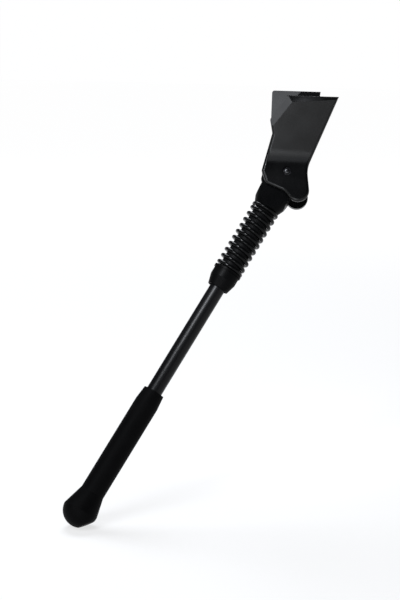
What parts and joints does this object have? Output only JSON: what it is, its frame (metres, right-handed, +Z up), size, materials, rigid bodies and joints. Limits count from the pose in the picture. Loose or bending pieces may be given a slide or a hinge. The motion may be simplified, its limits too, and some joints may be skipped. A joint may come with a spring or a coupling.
{
  "type": "bicycle kickstand",
  "caption": "Clamp-on bicycle side stand: splayed steel bracket that bolts under the chain stays and a spring-loaded round leg with a moulded ball foot that swings up to fold",
  "frame": {"origin": "centre of the frame bolt's hole on the mount plate's top face", "axes": "+X to the bicycle's rear, -Y outboard to its left side, +Z up out of the bolt hole; the leg is at rest deployed, down, forward and outboard"},
  "size_m": [0.1596, 0.1232, 0.2584],
  "materials": {
    "bracket_coat": "satin black powder coat",
    "pin_steel": "blackened and peened",
    "head_coat": "satin black",
    "tube_plastic": "plain black",
    "rod_coat": "semi-gloss black",
    "spring_coat": "gloss black",
    "collar_coat": "satin black",
    "ring_steel": "oiled spring steel",
    "foot_rubber": "matte black moulding"
  },
  "bodies": {
    "bracket": {"outer_cheek": "bracket_coat", "inner_cheek": "bracket_coat", "mount_plate": "bracket_coat", "weld_nut": "bracket_coat", "stop_bars": "bracket_coat", "pivot_pin": "pin_steel"},
    "head": {"pivot_head": "head_coat", "guide_tube": "tube_plastic"},
    "leg": {"leg_rod": "rod_coat", "spring": "spring_coat", "spring_collar": "collar_coat", "retaining_ring": "ring_steel", "foot_sleeve": "foot_rubber"}
  },
  "joints": [
    {"name": "leg_pivot", "type": "hinge", "parent": "bracket", "child": "head", "pos_m": [-0.0099, -0.0092, -0.048], "axis": [0, -0.9272, 0.3746], "range_deg": [0, 118]},
    {"name": "leg_slide", "type": "slide", "parent": "head", "child": "leg", "axis": [0.4848, 0.3276, 0.8109], "range_m": [0, 0.0012], "stiffness_N_per_m": 8200, "springref_m": -0.012, "deforming": ["spring"]}
  ]
}
